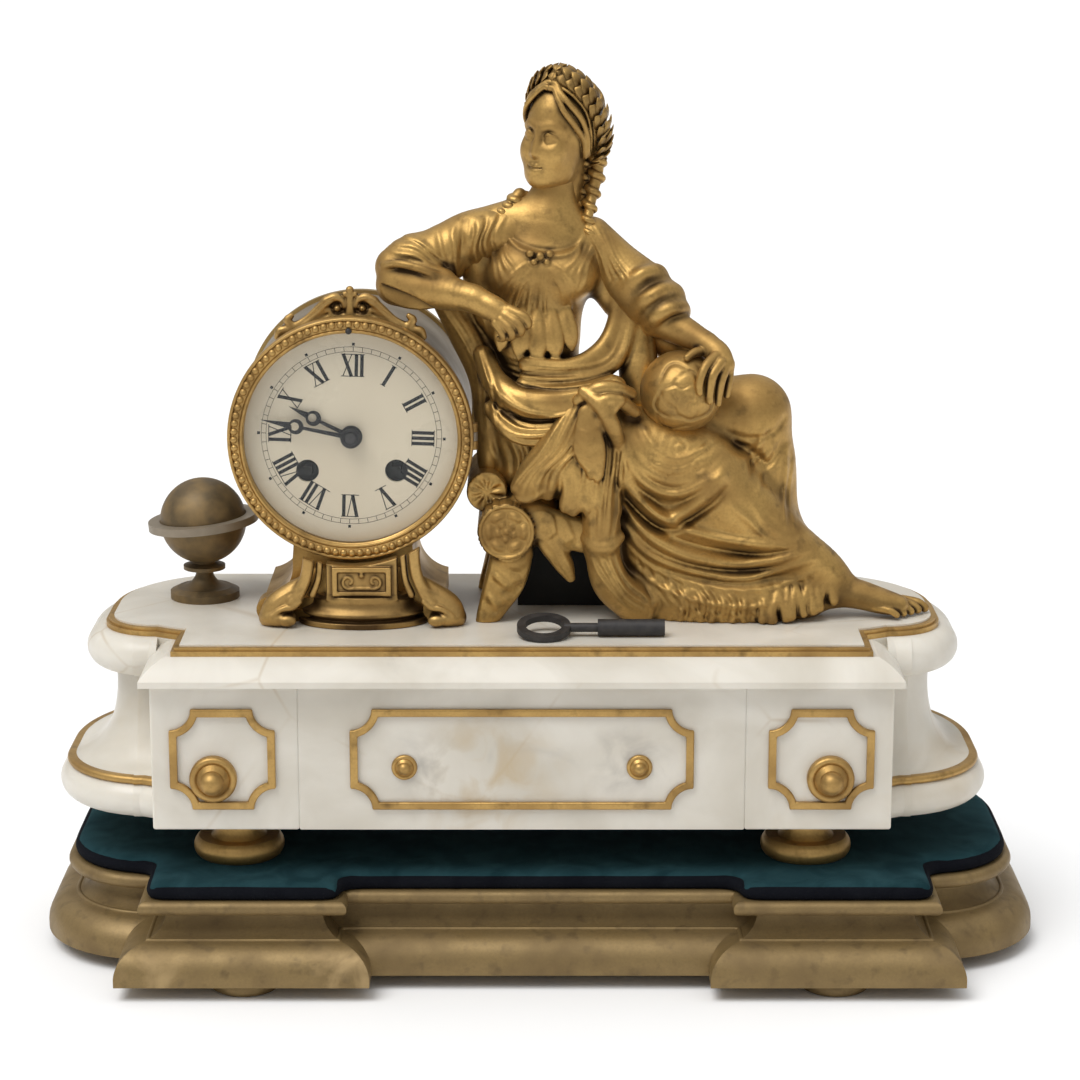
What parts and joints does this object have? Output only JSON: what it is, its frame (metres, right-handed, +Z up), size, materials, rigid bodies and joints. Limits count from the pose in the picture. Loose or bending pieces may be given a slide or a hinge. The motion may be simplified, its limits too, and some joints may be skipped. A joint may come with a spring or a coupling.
{
  "type": "figural clock",
  "caption": "Mantel clock with a seated draped woman leaning on a drum dial beside a small globe, on a stepped alabaster base over a velvet-topped giltwood stand, with a loose winding key.",
  "frame": {"origin": "middle of the stand on the floor", "axes": "+X to the viewer's right along the stand, -Y towards the viewer, +Z up"},
  "size_m": [0.402, 0.16, 0.3493],
  "materials": {
    "giltwood": "worn gilding over gesso",
    "velvet": "deep teal velvet",
    "dark_velvet": "near-black velvet",
    "core_wood": "plain softwood",
    "alabaster": "polished, clouded",
    "gilt_brass": "satin, aged",
    "gilt_spelter": "gilt, satin with brown patina",
    "grey_spelter": "dull grey",
    "dark_bronze": "dark bronze",
    "enamel": "glossy cream",
    "blued_steel": "blued",
    "brass": "satin",
    "steel": "satin",
    "iron": "black",
    "clear_glass": "clear"
  },
  "bodies": {
    "stand": {"stand_carcass": "giltwood", "stand_feet": "giltwood", "velvet_pad": "velvet", "velvet_edging": "dark_velvet"},
    "clock": {"base_core": "core_wood", "base_cap": "alabaster", "front_panel": "alabaster", "front_blocks": "alabaster", "base_ends": "alabaster", "back_panel": "alabaster", "gilt_strips": "gilt_brass", "panel_frames": "gilt_brass", "panel_bosses": "gilt_brass", "base_feet": "gilt_brass", "tie_rods": "steel", "drum_plinth": "gilt_spelter", "drum_case": "grey_spelter", "drum_crest": "gilt_spelter", "rear_ring": "brass", "dial": "enamel", "front_plate": "brass", "back_plate": "brass", "case_straps": "brass", "going_barrel": "brass", "strike_barrel": "brass", "ratchet_clicks": "steel", "going_train": "brass", "escape_wheel": "brass", "strike_wheel": "brass", "bell": "brass", "suspension_cock": "brass", "figure_torso": "gilt_spelter", "figure_head": "gilt_spelter", "laurel_wreath": "gilt_spelter", "right_arm": "gilt_spelter", "left_arm": "gilt_spelter", "skirt": "gilt_spelter", "lap_globe": "gilt_spelter", "stool": "gilt_spelter", "globe_ball": "dark_bronze", "globe_ring": "grey_spelter", "globe_stand": "dark_bronze"},
    "bezel": {"bezel_ring": "gilt_brass", "bezel_glass": "clear_glass", "sight_ring": "gilt_brass"},
    "rear_door": {"rear_cover": "brass"},
    "minute": {"minute_hand": "blued_steel", "cannon_pinion": "brass"},
    "hour": {"hour_hand": "blued_steel", "hour_wheel": "brass"},
    "minute_idler": {"minute_wheel": "brass"},
    "going_winder": {"going_arbor": "steel"},
    "strike_winder": {"strike_arbor": "steel"},
    "pendulum": {"pendulum_rod": "steel", "pendulum_bob": "brass"},
    "anchor": {"pallet_anchor": "steel"},
    "hammer": {"bell_hammer": "steel"},
    "fly": {"strike_fly": "brass"},
    "key": {"winding_key": "iron"}
  },
  "joints": [
    {"name": "clock_lift", "type": "slide", "parent": "stand", "child": "clock", "axis": [0, 0, 1], "range_m": [0, 0.06]},
    {"name": "bezel_hinge", "type": "hinge", "parent": "clock", "child": "bezel", "pos_m": [-0.026, -0.013, 0.21], "axis": [0, 0, 1], "range_deg": [0, 80]},
    {"name": "rear_door_hinge", "type": "hinge", "parent": "clock", "child": "rear_door", "pos_m": [-0.122, 0.058, 0.21], "axis": [0, 0, 1], "range_deg": [0, 100]},
    {"name": "minute_turn", "type": "hinge", "parent": "clock", "child": "minute", "pos_m": [-0.074, 0, 0.21], "axis": [0, 1, 0], "continuous": true},
    {"name": "hour_turn", "type": "hinge", "parent": "clock", "child": "hour", "pos_m": [-0.074, 0, 0.21], "axis": [0, 1, 0], "continuous": true},
    {"name": "minute_wheel_turn", "type": "hinge", "parent": "clock", "child": "minute_idler", "pos_m": [-0.074, 0, 0.222], "axis": [0, 1, 0], "continuous": true},
    {"name": "going_winding", "type": "hinge", "parent": "clock", "child": "going_winder", "pos_m": [-0.0565, 0, 0.196], "axis": [0, 1, 0], "range_deg": [0, 1440]},
    {"name": "strike_winding", "type": "hinge", "parent": "clock", "child": "strike_winder", "pos_m": [-0.0915, 0, 0.196], "axis": [0, -1, 0], "range_deg": [0, 1440]},
    {"name": "pendulum_swing", "type": "hinge", "parent": "clock", "child": "pendulum", "pos_m": [-0.074, 0.031, 0.24327], "axis": [0, 1, 0], "range_deg": [-4, 4]},
    {"name": "anchor_rock", "type": "hinge", "parent": "clock", "child": "anchor", "pos_m": [-0.074, 0.01, 0.24327], "axis": [0, 1, 0], "range_deg": [-4, 4]},
    {"name": "hammer_swing", "type": "hinge", "parent": "clock", "child": "hammer", "pos_m": [-0.101, 0.04, 0.193], "axis": [0, -1, 0], "range_deg": [0, 15], "stiffness_Nm_per_rad": 0.01, "springref_deg": -11.46},
    {"name": "fly_spin", "type": "hinge", "parent": "clock", "child": "fly", "pos_m": [-0.0945, 0.01, 0.2305], "axis": [0, 1, 0], "continuous": true},
    {"name": "key_lift", "type": "slide", "parent": "clock", "child": "key", "axis": [0, -0.7071, 0.7071], "range_m": [0, 0.15]}
  ],
  "couplings": [
    {"joint": "hour_turn", "follows": "minute_turn", "ratio": 0.083333},
    {"joint": "minute_wheel_turn", "follows": "minute_turn", "ratio": -0.33333},
    {"joint": "anchor_rock", "follows": "pendulum_swing", "ratio": 1}
  ]
}
